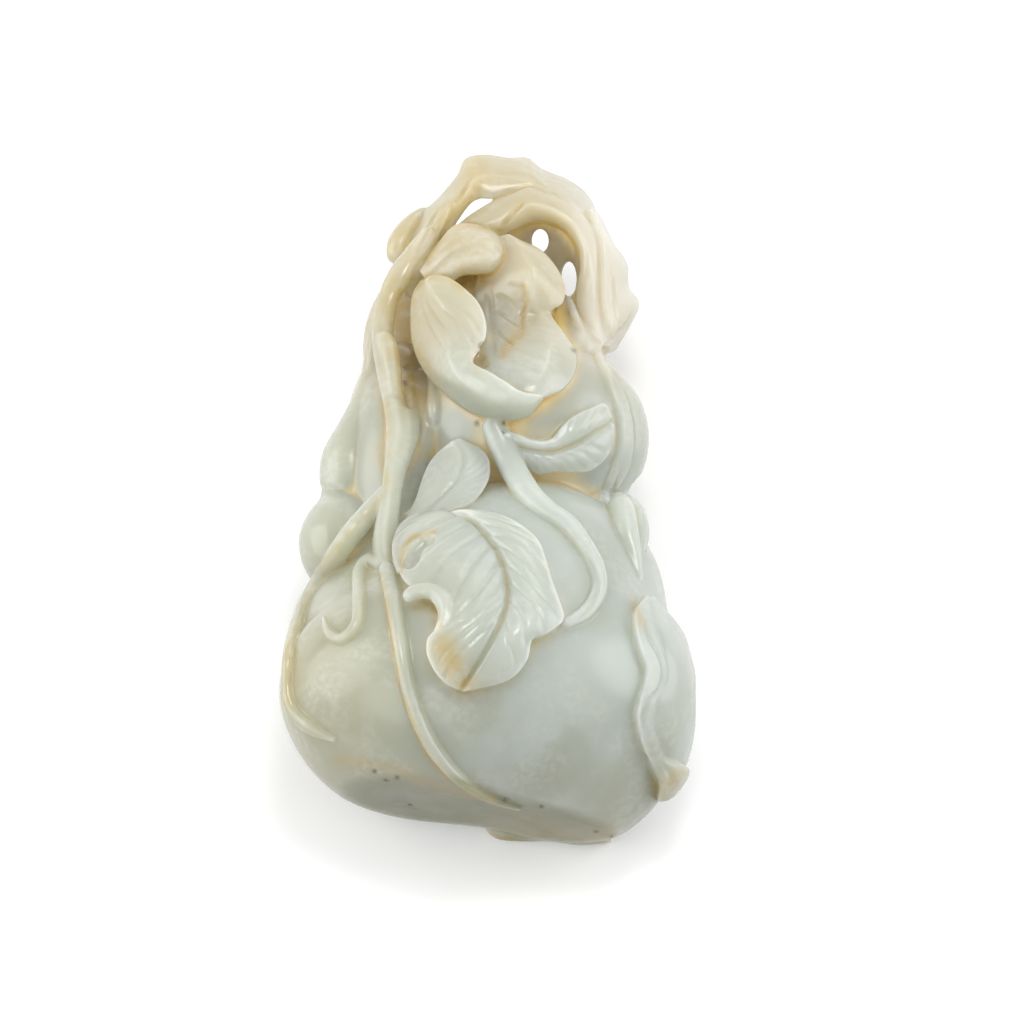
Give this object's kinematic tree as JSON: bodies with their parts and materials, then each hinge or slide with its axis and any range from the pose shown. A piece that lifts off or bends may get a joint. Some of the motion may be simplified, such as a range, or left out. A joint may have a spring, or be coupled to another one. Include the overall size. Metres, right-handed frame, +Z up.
{
  "type": "jade double gourd carving",
  "caption": "Jade carving of a double gourd on its vine, with small gourds, leaves, creepers and an open blossom in relief under a pierced arch; it lies on its flattened back.",
  "frame": {"origin": "middle of the bounding box at the level of the surface that the back rests on", "axes": "+X to the right as the carved face is looked at, +Y along the gourd towards its stem end, +Z up out of the carved face"},
  "size_m": [0.0659, 0.1202, 0.0446],
  "materials": {
    "jade": "polished pale celadon nephrite, slightly translucent, with a waxy gloss and ivory to tan stains at the stem end"
  },
  "bodies": {
    "root": {"double_gourd_carving": "jade"}
  },
  "joints": []
}
